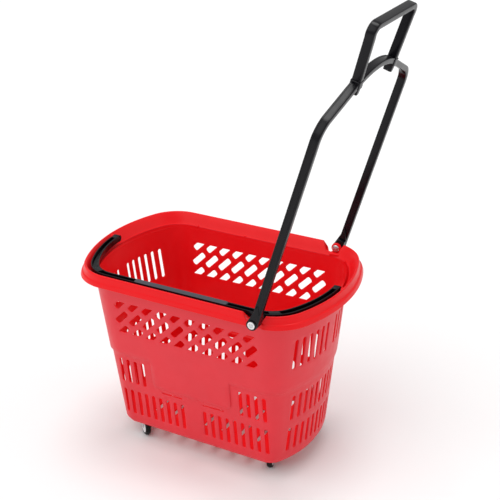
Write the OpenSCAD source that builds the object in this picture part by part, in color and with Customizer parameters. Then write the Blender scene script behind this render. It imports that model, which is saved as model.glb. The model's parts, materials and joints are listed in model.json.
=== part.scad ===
// Rolling basket trolley: a tapered, slotted shopping basket on four small casters, with a long
// pull handle hinged on the long sides and a short carry handle hinged on the ends.
// X runs along the basket towards the pull-handle end, Y across it, Z up. The origin is on the
// floor, at the middle of the whole object with the pull handle raised.

/* [Basket] */
// Length of the rim's top edge
rim_length = 540; // [500:5:560]
// Width of the rim's top edge
rim_width = 342; // [330:1:350]
// How far the rim's ends bulge outwards
rim_bulge = 55; // [45:1:60]
// Length of the base
base_length = 422; // [400:2:440]
// Width of the base
base_width = 241; // [236:1:246]
// Height of the rim's top above the base's lower edge
basket_height = 361; // [355:1:370]
// Wall thickness
wall = 2.5; // [2:0.1:3]
// Depth of the step in the wall below the rim
step_depth = 188; // [185:1:190]
// How far the wall steps in there
step_inset = 3; // [2:0.5:3.5]

/* [Slots] */
// Columns of slanted slots in each long side
slant_columns = 10; // [6:1:10]
// Pitch of the slanted slots
slant_pitch = 32.3; // [31:0.1:33]
// Width of an upright slot
upright_width = 7.6; // [6:0.2:8]

/* [Pull handle] */
// Lean of the raised pull handle from upright, in degrees
pull_lean = 17.6; // [12:0.2:20]
// Distance of its hinge in front of the basket's middle
pull_x = 173.6; // [170:0.2:178]
// Distance from the hinge to the middle of the grip bar
pull_reach = 564; // [540:2:590]
// Half the distance between the arms at the hinge
arm_y = 186; // [182:0.5:188]
// Half the distance between the arms at the bend
bend_y = 184; // [183:0.5:188]

/* [Carry handle] */
// Depth of its hinge below the rim's top
carry_depth = 8; // [7.5:0.5:8.5]
// Height of its channel section
carry_height = 13; // [12:0.5:13]

/* [Casters] */
// Wheel radius
wheel_r = 20; // [18:0.5:20]
// Distance of each caster from the middle, along the basket
caster_x = 152; // [140:1:154]
// Distance of each caster from the middle, across the basket
caster_y = 90; // [80:1:90]
// Distance of the wheel behind its swivel
caster_trail = 14; // [10:1:15]
// Clear height under the basket's lower edge
ground_clearance = 41; // [41:1:45]

/* [Hidden] */
$fn = 48;
basket_red = [0.86, 0.13, 0.17];
handle_black = [0.08, 0.08, 0.09];
grip_grey = [0.25, 0.25, 0.28];

rim_z = ground_clearance + basket_height;
rim_corner = 80;
base_bulge = 37;
base_corner = 39;
floor_depth = 346;
floor_thick = 3;
// Pull handle: the arm stands this far in front of its hinge
arm_offset = 3;
arm_wide = 11;
arm_deep = 16;
hinge_depth = 10.5;
bend_start = 383;
bend_r = 40;
arch_slope = 24.5;
arch_r = 200;
loop_low_y = 73;
loop_top_y = 86;
loop_low_s = 439;
loop_bar = 12;
loop_deep = 17;
pin_r = 4;
running = 0.05;
gap = 0.3;
// Middle of the whole object along X, between the rear lip and the raised grip
lip_x = rim_length / 2 + 9;
grip_x = pull_x + (pull_reach + loop_bar / 2) * sin(pull_lean)
    + (arm_offset + loop_deep / 2) * cos(pull_lean);
middle_x = (grip_x - lip_x) / 2;

// ---- Plan outlines ----

// Half of one end: the bulging arc, then the corner arc, from the X axis to the straight side.
// a and b are the half sizes, s the bulge and r the corner radius.
function end_quarter(a, b, s, r) =
    let (big = (b * b + s * s) / (2 * s), cx = a - big, yc = b - r,
         xc = cx + sqrt((big - r) * (big - r) - yc * yc), turn = atan2(yc, xc - cx))
    concat([for (i = [0:5]) let (t = turn * i / 5) [cx + big * cos(t), big * sin(t)]],
           [for (i = [1:5]) let (t = turn + (90 - turn) * i / 5)
               [xc + r * cos(t), yc + r * sin(t)]]);
function reversed(p) = [for (i = [len(p) - 1:-1:0]) p[i]];
function flip_x(p) = [for (q = p) [-q[0], q[1]]];
function flip_y(p) = [for (q = p) [q[0], -q[1]]];
function plan(a, b, s, r) =
    let (q = end_quarter(a, b, s, r), half = concat(q, reversed(flip_x(q))),
         h = [for (i = [1:len(half) - 2]) half[i]])
    concat([half[0]], h, [half[len(half) - 1]], reversed(flip_y(h)));

// Wall outline at a depth below the rim's top: [half length, half width, bulge, corner, depth]
wall_top = [254, 157.6, 52, 62];
wall_base = [base_length / 2 + step_inset, base_width / 2 + step_inset, base_bulge, base_corner];
function wall_at(depth, inset = 0) =
    let (u = depth / basket_height, m = wall_top * (1 - u) + wall_base * u)
    [m[0] - inset, m[1] - inset, m[2], m[3] - inset, depth];
// Rim outline, grown from the top edge by x at the ends and y at the sides
function rim_at(x, y, depth) =
    [rim_length / 2 + x, rim_width / 2 + y, rim_bulge, rim_corner + y, depth];

// The shell's section, from the underside, up the outside, over the rim and down the inside
low = step_inset;
shell_rings = [
    wall_at(floor_depth + floor_thick, low + wall), wall_at(basket_height + 4, low + wall + 3),
    wall_at(basket_height + 4, low + 3), wall_at(basket_height, low + 2.6),
    wall_at(basket_height - 2, low + 0.6), wall_at(basket_height - 5, low),
    wall_at(step_depth + 3, low), wall_at(step_depth, 0), wall_at(30, 0),
    rim_at(-11.4, -11.4, 25.5), rim_at(-2.4, -2.2, 6), rim_at(0.6, 1.6, 14),
    rim_at(6, 3, 25), rim_at(9, 5, 25), rim_at(7, 4, 17), rim_at(2.6, 2.4, 14),
    rim_at(1, 0.7, 3), rim_at(0.2, 0, 0.8), rim_at(-1, -1, 0), rim_at(-2.6, -2.6, 0.6),
    rim_at(-14, -14, 23.5), wall_at(30, wall), wall_at(step_depth, wall),
    wall_at(step_depth + 3, low + wall), wall_at(floor_depth - 4, low + wall),
    wall_at(floor_depth, low + wall + 4)];

// A closed solid through a list of rings, with flat faces over the first and the last
module loft(rings) {
    outlines = [for (g = rings) plan(g[0], g[1], g[2], g[3])];
    n = len(outlines[0]);
    points = [for (k = [0:len(rings) - 1]) for (p = outlines[k]) [p[0], p[1], rim_z - rings[k][4]]];
    sides = [for (k = [0:len(rings) - 2]) for (i = [0:n - 1])
        let (j = (i + 1) % n, a = k * n + i, b = k * n + j, c = a + n, d = b + n)
        for (f = [[a, c, b], [b, c, d]]) f];
    first = [for (i = [0:n - 1]) i];
    last = [for (i = [n - 1:-1:0]) (len(rings) - 1) * n + i];
    polyhedron(points, concat([first], sides, [last]));
}

// ---- Slots ----

module rounded_box(w, h, r) {
    square([w, h - 2 * r], center = true);
    square([w - 2 * r, h], center = true);
    for (x = [-1, 1], y = [-1, 1])
        translate([x * (w / 2 - r), y * (h / 2 - r)]) circle(r);
}
module upright_slot(length) {
    square([upright_width, length - upright_width], center = true);
    for (y = [-1, 1]) translate([0, y * (length - upright_width) / 2]) circle(upright_width / 2);
}
// Slanted slots in three rows; the outer two rows are cut off level
module slant_field() {
    row = 34;
    cut = 36.4;
    middle = -96.4;
    intersection() {
        for (i = [0:slant_columns - 1], k = [-1:1])
            translate([(i - (slant_columns - 1) / 2) * slant_pitch + 1.5 * k, middle + row * k])
                rotate(-45) rounded_box(12.5, 36, 4);
        translate([0, middle]) square([slant_pitch * (slant_columns + 2), 2 * cut], center = true);
    }
}
// Upright slots of a long side: four above and nine below in each half, and a thin level pair
module side_slots() {
    pitch = 17.4;
    for (m = [-1, 1]) {
        for (i = [0:3]) translate([m * (113 + i * pitch), -231]) upright_slot(58);
        for (i = [0:8]) translate([m * (26 + i * pitch), -309]) upright_slot(61);
        translate([m * 48, -263]) square([48, 2.6], center = true);
    }
}
// Upright slots of an end wall, in three rows
module end_slots() {
    for (m = [-1, 1], i = [0:5]) {
        translate([m * (18 + i * 17.6), -105]) upright_slot(66);
        translate([m * (8.5 + i * 16.6), -236]) upright_slot(58);
        translate([m * (8.5 + i * 16.6), -313]) upright_slot(57);
    }
}
module floor_slots() {
    for (x = [-4:4], y = [-1, 0, 1])
        if (abs(x) < 4 || y == 0)
            translate([x * 40, y * 62]) rounded_box(9, 44, 4);
}
// Turns a drawing of X and height into a cutter along Y, or of Y and height into one along X
module through_y(reach) translate([0, reach, rim_z]) rotate([90, 0, 0]) linear_extrude(2 * reach)
    children();
module through_x(reach) translate([-reach, 0, rim_z]) rotate([90, 0, 90]) linear_extrude(2 * reach)
    children();

// ---- Basket ----

// Places a child at each hinge of the pull handle, mirrored to the far side
module each_side() for (m = [0, 1]) mirror([0, m, 0]) children();
// Places a child at each hinge of the carry handle, with its Z along the hinge
module each_end() for (m = [0, 1]) mirror([m, 0, 0]) translate([0, 0, rim_z - carry_depth])
    rotate([0, 90, 0]) children();
module along_y(from, to, r) translate([0, from, 0]) rotate([-90, 0, 0])
    cylinder(h = to - from, r = r);

notch_left = pull_x - 22.6;
// Upper edge of the notch on the handle's side, sloped with the arm that rests against it
function stop_x(depth) = pull_x + (arm_offset + arm_deep / 2 + gap) / cos(pull_lean)
    + (hinge_depth - depth) * tan(pull_lean);
module rim_notch() {
    outer_y = rim_width / 2 - 1.8;
    translate([0, 200, rim_z]) rotate([90, 0, 0]) linear_extrude(200 - outer_y)
        polygon([[notch_left - 3, 2], [notch_left, -3], [notch_left + 3, -32],
            [stop_x(hinge_depth), -32], [stop_x(hinge_depth), -hinge_depth], [stop_x(-2), 2]]);
    translate([0, 200, rim_z]) rotate([90, 0, 0]) linear_extrude(55)
        polygon([[notch_left - 9, 2], [notch_left - 6, -3], [notch_left + 3, -17],
            [pull_x, -20], [pull_x + 9, -17], [pull_x + 12, -7], [stop_x(7), -6],
            [stop_x(-2), 2]]);
}
lug_in = 165.5;
lug_out = 171;
module basket_shell() color(basket_red) {
    difference() {
        union() {
            difference() {
                loft(shell_rings);
                through_y(200) slant_field();
                through_y(200) side_slots();
                through_x(300) end_slots();
                translate([0, 0, rim_z - floor_depth - 10]) linear_extrude(20) floor_slots();
                each_side() rim_notch();
            }
            each_side() translate([pull_x, 0, rim_z - hinge_depth]) {
                along_y(lug_in, lug_out, 10.5);
                translate([-10.5, 154, -19]) cube([21, 14, 11]);
            }
            each_side() raised_panel();
            each_end() translate([0, 0, rim_length / 2 - 7]) cylinder(h = 6.5, r = 5.6);
            for (x = [-1, 1], y = [-1, 1])
                translate([x * caster_x, y * caster_y, socket_z])
                    cylinder(h = floor_z - socket_z - 1, r = 11);
        }
        each_side() translate([pull_x, 0, rim_z - hinge_depth]) along_y(150, 185, pin_r + running);
        each_end() translate([0, 0, 250]) cylinder(h = peg_end + 0.5 - 250, r = peg_r + running);
        for (x = [-1, 1], y = [-1, 1])
            translate([x * caster_x, y * caster_y, socket_z - 1]) cylinder(h = 11, r = bush_r);
    }
}
floor_z = rim_z - floor_depth;
socket_z = 44;
bush_r = 7.5;
// The raised middle panel of a long side: the upper wall carried down past the step
module raised_panel() {
    top = step_depth - 1;
    bottom = 250;
    half = 90;
    wide_top = wall_at(top)[1];
    wide_bottom = wall_at(bottom)[1];
    translate([-half, 0, rim_z]) rotate([90, 0, 90]) linear_extrude(2 * half)
        polygon([[wide_top - 2, -top], [wide_top, -top], [wide_bottom, -bottom],
            [wide_bottom - 3.2, -bottom - 2.4], [wide_bottom - 4.2, -bottom]]);
}

// ---- Carry handle ----

carry_out = [rim_length / 2 - 10.5, rim_width / 2 - 10.5];
carry_wide = 13;
carry_top = rim_z - carry_depth + carry_height / 2;
carry_web = 3;
peg_r = 3;
peg_end = rim_length / 2 - 3.5;
module carry_plan(inset) polygon(plan(carry_out[0] - inset, carry_out[1] - inset, rim_bulge,
    69 - inset));
module carry_band(from, to) intersection() {
    difference() {
        carry_plan(from);
        carry_plan(to);
    }
    translate([-300, -300]) square([600, 300]);
}
// A channel open upwards, closed at its ends and round the corners, with a disc and a peg at
// each end
module carry_handle() color(handle_black) {
    difference() {
        translate([0, 0, carry_top - carry_height]) linear_extrude(carry_height)
            carry_band(0, carry_wide);
        translate([0, 0, carry_top - carry_height + carry_web]) linear_extrude(carry_height)
            difference() {
                carry_band(2.2, carry_wide - 2.6);
                translate([-300, -12]) square([600, 20]);
                for (m = [-1, 1]) translate([m * 202 - 10, -200]) square([20, 200]);
            }
    }
    each_end() {
        translate([0, 0, carry_out[0] - carry_wide]) cylinder(h = carry_wide, r = 7);
        translate([0, 0, carry_out[0] - 1]) cylinder(h = peg_end + 1 - carry_out[0], r = peg_r);
    }
}
// Grip pressed into the middle of the channel, with a cap over its edges
module carry_grip() color(grip_grey) {
    half = 102;
    outer = carry_out[1];
    translate([-half, -outer + 2.2, carry_top - carry_height + carry_web])
        cube([2 * half, carry_wide - 4.8, carry_height - carry_web]);
    translate([-half, -outer + 0.4, carry_top]) cube([2 * half, carry_wide - 0.8, 1.4]);
}

// ---- Pull handle ----

// Handle frame: X across (as Y), Y up the arms (s), extruded forwards; stands on its hinge axis
module handle_frame() translate([pull_x, 0, rim_z - hinge_depth]) rotate([0, pull_lean, 0])
    children();
module handle_sheet(from, to) translate([from, 0, 0]) rotate([90, 0, 90])
    linear_extrude(to - from) children();

// Middle line of the right half, from the foot up to the crown of the arch: points [y, s]
bend_end = [bend_y - bend_r * (1 - cos(90 - arch_slope)), bend_start + bend_r * cos(arch_slope)];
arch_y = arch_r * sin(arch_slope);
crown_s = bend_end[1] + (bend_end[0] - arch_y) * tan(arch_slope) + arch_r * (1 - cos(arch_slope));
function half_line() = concat(
    [[arm_y, 0]],
    [for (i = [0:8]) let (t = (90 - arch_slope) * i / 8)
        [bend_y - bend_r * (1 - cos(t)), bend_start + bend_r * sin(t)]],
    [for (i = [0:8]) let (t = arch_slope * (1 - i / 8))
        [arch_r * sin(t), crown_s - arch_r * (1 - cos(t))]]);
function unit(v) = v / norm(v);
function side_step(p, i, d) =
    let (a = p[max(i - 1, 0)], b = p[min(i + 1, len(p) - 1)], u = unit(b - a))
    p[i] + d * [-u[1], u[0]];
module ribbon(p, w) polygon(concat(
    [for (i = [0:len(p) - 1]) side_step(p, i, w / 2)],
    [for (i = [len(p) - 1:-1:0]) side_step(p, i, -w / 2)]));
foot_out = arm_y + arm_wide / 2;
foot_in = lug_out + gap;
// Outside this the foot passes the rim's skirt; inside it stays within the notch
skirt_clear = rim_width / 2 + 5.8;
boss_out = 193.5;
module pull_handle_frame() color(handle_black) handle_frame() difference() {
    union() {
        handle_sheet(arm_offset - arm_deep / 2, arm_offset + arm_deep / 2) {
            ribbon(half_line(), arm_wide);
            mirror([1, 0]) ribbon(half_line(), arm_wide);
        }
        // Collars that hold the legs of the grip loop
        each_side() leg_place(loop_low_s + 11, loop_low_s + 26)
            cube([arm_deep + 3, loop_bar + 5, 15], center = true);
        // Feet, set back to the hinge, with a boss outside
        each_side() {
            translate([0, foot_out, 0]) rotate([90, 0, 0]) linear_extrude(foot_out - skirt_clear)
                foot_web();
            translate([0, foot_out, 0]) rotate([90, 0, 0]) linear_extrude(foot_out - foot_in)
                foot_root();
            along_y(foot_out - 1, boss_out, 10.5);
        }
    }
    each_side() along_y(160, 200, pin_r + running);
    each_side() leg_place(loop_low_s - 6, loop_low_s + 60)
        cube([loop_deep, loop_bar, 66], center = true);
}
// Foot seen from the side: the hinge eye with the arm's round end and the stop above it
module foot_root() {
    circle(11);
    translate([arm_offset, 0]) circle(arm_deep / 2);
    translate([arm_offset - arm_deep / 2, 0]) square([arm_deep, 18]);
}
// Web that joins the eye to the arm outside the rim
module foot_web() polygon([[-10.6, 3], [arm_offset, -11], [arm_offset, 44], [0.1, 44]]);
// Places a child on a leg of the loop, turned with it, at the middle of two heights
module leg_place(from, to) {
    lean = atan2(loop_top_y - loop_low_y, pull_reach - loop_low_s);
    s = (from + to) / 2;
    y = loop_low_y + (s - loop_low_s) * tan(lean);
    translate([arm_offset, y, s]) rotate([-lean, 0, 0]) children();
}
// The grip loop: two legs that plug into the arch, and the bar between them
module pull_grip_loop() color(handle_black) handle_frame() {
    corner = 14;
    leg = concat([[loop_low_y, loop_low_s]],
        [for (i = [0:8]) let (t = 90 * i / 8)
            [loop_top_y - corner * (1 - cos(t)), pull_reach - corner * (1 - sin(t))]]);
    handle_sheet(arm_offset - loop_deep / 2, arm_offset + loop_deep / 2)
        ribbon(concat(leg, reversed(flip_x(leg))), loop_bar);
}
// Hinge pin: domed head inside the lug, shank, and the riveted end over the washer
module pull_pin() translate([pull_x, 0, rim_z - hinge_depth]) {
    along_y(lug_in - gap, boss_out + 1.2, pin_r);
    along_y(boss_out + 1.2, boss_out + 2.2, 3);
    translate([0, lug_in - gap, 0]) rotate([90, 0, 0]) {
        cylinder(h = 1, r = 7.4);
        translate([0, 0, 1]) intersection() {
            translate([0, 0, -10.7]) sphere(r = 12.9);
            cylinder(h = 3, r = 7.2);
        }
    }
}
module pull_washer() translate([pull_x, 0, rim_z - hinge_depth]) difference() {
    along_y(boss_out + 0.1, boss_out + 1.2, 7);
    along_y(boss_out - 1, boss_out + 3, pin_r + running);
}

// ---- Casters ----

// Each caster: [x side, y side, swivel angle, side of the bracket]
front_right = [1, -1, 106, -1];
front_left = [1, 1, -106, 1];
rear_right = [-1, -1, -37, 1];
rear_left = [-1, 1, 37, -1];
bracket_top = socket_z - 0.4;
stem_r = 5;
axle_r = 2.5;
hub_r = 14.2;
wheel_wide = 11;
bracket_thick = 4;
// Stands a child on the swivel axis, with +X towards the wheel and +Y to the open side
module caster_place(c) translate([c[0] * caster_x, c[1] * caster_y, 0]) rotate(c[2])
    mirror([0, c[3] > 0 ? 1 : 0, 0]) children();
module wheel_place(c) caster_place(c) translate([caster_trail, 0, wheel_r]) children();
module caster_bush(c) color("dimgray") translate([c[0] * caster_x, c[1] * caster_y, socket_z])
    difference() {
        cylinder(h = 9.6, r = bush_r - 0.02);
        translate([0, 0, -1]) cylinder(h = 9.6, r = stem_r + running);
    }
module caster_bracket(c) color([0.12, 0.12, 0.13]) caster_place(c) {
    leg_in = wheel_wide / 2 + 0.5;
    translate([0, 0, bracket_top - 2.6]) cylinder(h = 2.6, r = 11);
    translate([0, 0, bracket_top - 1]) cylinder(h = 8.4, r = stem_r);
    difference() {
        translate([0, -leg_in, 0]) rotate([90, 0, 0]) linear_extrude(bracket_thick) {
            translate([caster_trail, wheel_r]) circle(7.5);
            polygon([[-8, bracket_top - 0.4], [-8, bracket_top - 2.6],
                [caster_trail - 7.2, wheel_r - 2.2], [caster_trail + 7.4, wheel_r + 1],
                [12, bracket_top - 2.6], [10, bracket_top - 0.4]]);
        }
        translate([caster_trail, 0, wheel_r]) along_y(-20, 0, axle_r);
    }
}
module caster_axle(c) color("silver") wheel_place(c) {
    along_y(-wheel_wide / 2 - 4.5, wheel_wide / 2 + 0.4, axle_r);
    along_y(wheel_wide / 2 + 0.4, wheel_wide / 2 + 1.6, 4);
}
// A disc, dished on both sides, with a boss of full width round the axle
module wheel_hub(c) color("whitesmoke") wheel_place(c) difference() {
    union() {
        difference() {
            along_y(-wheel_wide / 2, wheel_wide / 2, hub_r);
            along_y(wheel_wide / 2 - 2, wheel_wide, hub_r - 2.2);
            along_y(-wheel_wide, -wheel_wide / 2 + 2, hub_r - 2.2);
        }
        along_y(-wheel_wide / 2, wheel_wide / 2, 5);
    }
    along_y(-wheel_wide, wheel_wide, axle_r + running);
}
module wheel_tyre(c) color([0.06, 0.06, 0.06]) wheel_place(c) rotate([-90, 0, 0])
    rotate_extrude() translate([hub_r, 0]) polygon([[0, -5.5], [3.4, -5.5], [4.9, -4.4],
        [wheel_r - hub_r, -2.6], [wheel_r - hub_r, 2.6], [4.9, 4.4], [3.4, 5.5], [0, 5.5]]);

// ---- Nodes ----

module place() translate([-middle_x, 0, 0]) children();
place() basket_shell();
place() carry_handle();
place() carry_grip();
place() pull_handle_frame();
place() pull_grip_loop();
place() mirror([0, 1, 0]) color("silver") pull_pin();  // pull_pin_right
place() color("silver") pull_pin();  // pull_pin_left
place() mirror([0, 1, 0]) color("white") pull_washer();  // pull_washer_right
place() color("white") pull_washer();  // pull_washer_left
place() caster_bush(front_right);  // caster_bush_front_right
place() caster_bush(front_left);  // caster_bush_front_left
place() caster_bush(rear_right);  // caster_bush_rear_right
place() caster_bush(rear_left);  // caster_bush_rear_left
place() caster_bracket(front_right);  // caster_bracket_front_right
place() caster_bracket(front_left);  // caster_bracket_front_left
place() caster_bracket(rear_right);  // caster_bracket_rear_right
place() caster_bracket(rear_left);  // caster_bracket_rear_left
place() caster_axle(front_right);  // caster_axle_front_right
place() caster_axle(front_left);  // caster_axle_front_left
place() caster_axle(rear_right);  // caster_axle_rear_right
place() caster_axle(rear_left);  // caster_axle_rear_left
place() wheel_hub(front_right);  // wheel_hub_front_right
place() wheel_hub(front_left);  // wheel_hub_front_left
place() wheel_hub(rear_right);  // wheel_hub_rear_right
place() wheel_hub(rear_left);  // wheel_hub_rear_left
place() wheel_tyre(front_right);  // wheel_tyre_front_right
place() wheel_tyre(front_left);  // wheel_tyre_front_left
place() wheel_tyre(rear_right);  // wheel_tyre_rear_right
place() wheel_tyre(rear_left);  // wheel_tyre_rear_left
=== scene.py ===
"""Looks for the rolling basket trolley. Lengths are millimetres, measured like the basket's own
drawing: x from the basket's middle, y across it, and depth below the rim's top."""
import json
import math

import bmesh
import bpy
from mathutils import Matrix, Vector
from mathutils.geometry import delaunay_2d_cdt


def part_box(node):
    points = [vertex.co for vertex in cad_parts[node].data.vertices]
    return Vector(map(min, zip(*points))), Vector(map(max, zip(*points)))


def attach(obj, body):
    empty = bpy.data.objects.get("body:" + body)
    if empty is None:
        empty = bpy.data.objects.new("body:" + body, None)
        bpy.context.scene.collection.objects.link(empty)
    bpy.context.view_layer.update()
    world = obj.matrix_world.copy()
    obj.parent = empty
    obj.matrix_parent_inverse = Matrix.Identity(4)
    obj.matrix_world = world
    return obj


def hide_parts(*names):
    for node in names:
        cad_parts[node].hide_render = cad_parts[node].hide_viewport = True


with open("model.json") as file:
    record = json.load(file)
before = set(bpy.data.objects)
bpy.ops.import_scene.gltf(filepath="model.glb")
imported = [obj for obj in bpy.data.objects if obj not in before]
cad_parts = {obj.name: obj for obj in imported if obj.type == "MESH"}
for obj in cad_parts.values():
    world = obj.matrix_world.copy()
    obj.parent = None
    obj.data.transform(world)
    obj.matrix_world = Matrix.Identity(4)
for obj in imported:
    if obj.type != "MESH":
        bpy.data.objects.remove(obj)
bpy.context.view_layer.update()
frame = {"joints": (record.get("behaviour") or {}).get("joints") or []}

MM = 0.001
hinges = {j["name"]: j for j in frame["joints"]}
carry_hinge = Vector(hinges["carry_handle_hinge"]["pos_m"])
pull_hinge = Vector(hinges["pull_handle_hinge"]["pos_m"])
middle_x = carry_hinge.x
rim_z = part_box("basket_shell")[1].z


def at(x, y, depth):
    """A point of the basket, in metres in the frame."""
    return Vector((middle_x + x * MM, y * MM, rim_z - depth * MM))


# ---- Meshes ----

def place(name, mesh, material, body, node, angle=38):
    mesh.validate()
    mesh.materials.append(material)
    obj = bpy.data.objects.new(name, mesh)
    bpy.context.scene.collection.objects.link(obj)
    smooth(mesh, angle)
    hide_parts(node)
    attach(obj, body)
    return obj


def smooth(mesh, angle):
    for p in mesh.polygons:
        p.use_smooth = True
    mesh.set_sharp_from_angle(angle=math.radians(angle))


class Build:
    """Collects parts of one mesh."""

    def __init__(self):
        self.verts, self.faces = [], []

    def add(self, verts, faces):
        n = len(self.verts)
        self.verts += [Vector(v) for v in verts]
        self.faces += [[i + n for i in f] for f in faces]

    def skin(self, rings, loop=False, caps=False):
        """Quads between rings of equal length; loop joins the last ring to the first."""
        n = len(rings[0])
        verts = [v for r in rings for v in r]
        faces = []
        for k in range(len(rings) if loop else len(rings) - 1):
            a, b = k * n, (k + 1) % len(rings) * n
            for i in range(n):
                j = (i + 1) % n
                faces.append([a + i, a + j, b + j, b + i])
        if caps:
            faces.append(list(range(n))[::-1])
            faces.append([(len(rings) - 1) * n + i for i in range(n)])
        self.add(verts, faces)

    def object(self, name, material, body, node, angle=38, weld=0.00002):
        mesh = bpy.data.meshes.new(name)
        mesh.from_pydata(self.verts, [], self.faces)
        bm = bmesh.new()
        bm.from_mesh(mesh)
        bmesh.ops.remove_doubles(bm, verts=bm.verts, dist=weld)
        bmesh.ops.recalc_face_normals(bm, faces=bm.faces)
        bm.to_mesh(mesh)
        bm.free()
        return place(name, mesh, material, body, node, angle)


def prism(outline, low, high, axis, bevel=0.0, segments=3):
    """A bmesh solid: a drawing extruded between two planes, placed by a matrix, edges rounded."""
    bm = bmesh.new()
    bottom = [bm.verts.new((x * MM, y * MM, low * MM)) for x, y in outline]
    top = [bm.verts.new((x * MM, y * MM, high * MM)) for x, y in outline]
    bm.faces.new(bottom[::-1])
    bm.faces.new(top)
    for i in range(len(outline)):
        j = (i + 1) % len(outline)
        bm.faces.new((bottom[i], bottom[j], top[j], top[i]))
    bmesh.ops.recalc_face_normals(bm, faces=bm.faces)
    if bevel:
        sharp = [e for e in bm.edges if e.calc_face_angle(0) > math.radians(30)]
        bmesh.ops.bevel(bm, geom=sharp, offset=bevel * MM, segments=segments, profile=0.5,
                        affect="EDGES", clamp_overlap=True)
    bmesh.ops.transform(bm, matrix=axis, verts=bm.verts)
    return bm


def lathe(profile, axis, steps=48):
    """A bmesh solid turned about the matrix's Z from (radius, height) points."""
    bm = bmesh.new()
    rings = []
    for r, h in profile:
        if r < 0.001:
            rings.append([bm.verts.new((0, 0, h * MM))])
        else:
            rings.append([bm.verts.new((r * MM * math.cos(t), r * MM * math.sin(t), h * MM))
                          for t in (2 * math.pi * i / steps for i in range(steps))])
    for a, b in zip(rings, rings[1:]):
        for i in range(steps):
            j = (i + 1) % steps
            quad = [a[i % len(a)], a[j % len(a)], b[j % len(b)], b[i % len(b)]]
            quad = list(dict.fromkeys(quad))
            if len(quad) > 2:
                bm.faces.new(quad)
    bmesh.ops.recalc_face_normals(bm, faces=bm.faces)
    bmesh.ops.transform(bm, matrix=axis, verts=bm.verts)
    return bm


def join(parts):
    """One mesh from several bmeshes."""
    mesh = bpy.data.meshes.new("joined")
    whole = bmesh.new()
    for bm in parts:
        bm.to_mesh(mesh)
        whole.from_mesh(mesh)
        bm.free()
    whole.to_mesh(mesh)
    whole.free()
    return mesh


def frame_at(origin, z, x):
    """A matrix whose Z and X axes point along the given directions."""
    z, x = Vector(z).normalized(), Vector(x)
    x = (x - z * x.dot(z)).normalized()
    m = Matrix((x, z.cross(x), z)).transposed().to_4x4()
    m.translation = origin
    return m


def arc(cx, cy, r, start, end, steps):
    return [(cx + r * math.cos(math.radians(start + (end - start) * i / steps)),
             cy + r * math.sin(math.radians(start + (end - start) * i / steps)))
            for i in range(steps + 1)]


def rounded(w, h, r, steps=4):
    """A rounded rectangle's outline about the origin, anticlockwise."""
    x, y = w / 2 - r, h / 2 - r
    return (arc(x, y, r, 0, 90, steps) + arc(-x, y, r, 90, 180, steps)
            + arc(-x, -y, r, 180, 270, steps) + arc(x, -y, r, 270, 360, steps))


# ---- Materials ----

def plastic(name, colour, roughness, grain=0.05, scale=900.0, mottle=0.04, specular=0.5):
    """Moulded plastic: faint mottling in its colour, uneven gloss and a fine moulded grain."""
    mat = bpy.data.materials.new(name)
    mat.use_nodes = True
    nodes, links = mat.node_tree.nodes, mat.node_tree.links
    shader = nodes["Principled BSDF"]
    coords = nodes.new("ShaderNodeTexCoord")

    def noise(size, detail):
        n = nodes.new("ShaderNodeTexNoise")
        n.inputs["Scale"].default_value = size
        n.inputs["Detail"].default_value = detail
        links.new(coords.outputs["Object"], n.inputs["Vector"])
        return n

    def ramp(source, low, high):
        r = nodes.new("ShaderNodeMapRange")
        r.inputs["From Min"].default_value = 0.3
        r.inputs["From Max"].default_value = 0.7
        r.inputs["To Min"].default_value = low
        r.inputs["To Max"].default_value = high
        links.new(source, r.inputs["Value"])
        return r.outputs["Result"]

    def mixed(a, b, factor):
        m = nodes.new("ShaderNodeMix")
        m.data_type = "RGBA"
        m.inputs["A"].default_value = (*a, 1)
        m.inputs["B"].default_value = (*b, 1)
        links.new(factor, m.inputs["Factor"])
        return m.outputs["Result"]

    broad = noise(14, 3)
    tint = mixed([c * (1 - mottle) for c in colour], [min(1, c * (1 + mottle)) for c in colour],
                 ramp(broad.outputs["Fac"], 0, 1))
    links.new(tint, shader.inputs["Base Color"])
    links.new(ramp(noise(60, 4).outputs["Fac"], roughness - 0.05, roughness + 0.05),
              shader.inputs["Roughness"])
    bump = nodes.new("ShaderNodeBump")
    bump.inputs["Strength"].default_value = grain
    bump.inputs["Distance"].default_value = 0.0002
    links.new(noise(scale, 2).outputs["Fac"], bump.inputs["Height"])
    links.new(bump.outputs["Normal"], shader.inputs["Normal"])
    shader.inputs["Specular IOR Level"].default_value = specular
    return mat


def metal(name, colour, roughness):
    mat = plastic(name, colour, roughness, grain=0.08, scale=1500, mottle=0.08)
    mat.node_tree.nodes["Principled BSDF"].inputs["Metallic"].default_value = 1.0
    return mat


# Each is named after its material slot in the record
red = plastic("basket_red", (0.84, 0.006, 0.010), 0.33, grain=0.04, mottle=0.03, specular=0.2)
# The outside red is rougher, and its colour is painted pinker than the plain red above: a painted
# sheen of the bright surroundings.
red_outside_painted_sheen = plastic("basket_red", (0.74, 0.013, 0.027), 0.42, grain=0.05, mottle=0.03)
black = plastic("handle_black", (0.0018, 0.0014, 0.0032), 0.24, grain=0.10, scale=1300,
                specular=0.24)
grey = plastic("grip_grey", (0.045, 0.047, 0.062), 0.42, grain=0.18, scale=1600)
pale = plastic("washer", (0.82, 0.82, 0.83), 0.3)
bush_grey = plastic("bush", (0.10, 0.10, 0.11), 0.5)
bracket_black = plastic("bracket", (0.004, 0.004, 0.005), 0.4, grain=0.10, scale=1300,
                        specular=0.25)
hub_white = plastic("hub", (0.82, 0.82, 0.83), 0.35)
rubber = plastic("tyre", (0.003, 0.003, 0.003), 0.5, grain=0.3, scale=1200, mottle=0.2,
                 specular=0.2)
steel = metal("steel", (0.62, 0.63, 0.65), 0.28)

# ---- Plan outlines of the basket ----

RIM = (270, 171, 55, 80)
WALL_TOP = (254, 157.6, 52, 62)
WALL_BASE = (214, 123.5, 37, 39)
HEIGHT = 361
STEP = 188
INSET = 3
WALL = 2.5
FLOOR = 346


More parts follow.
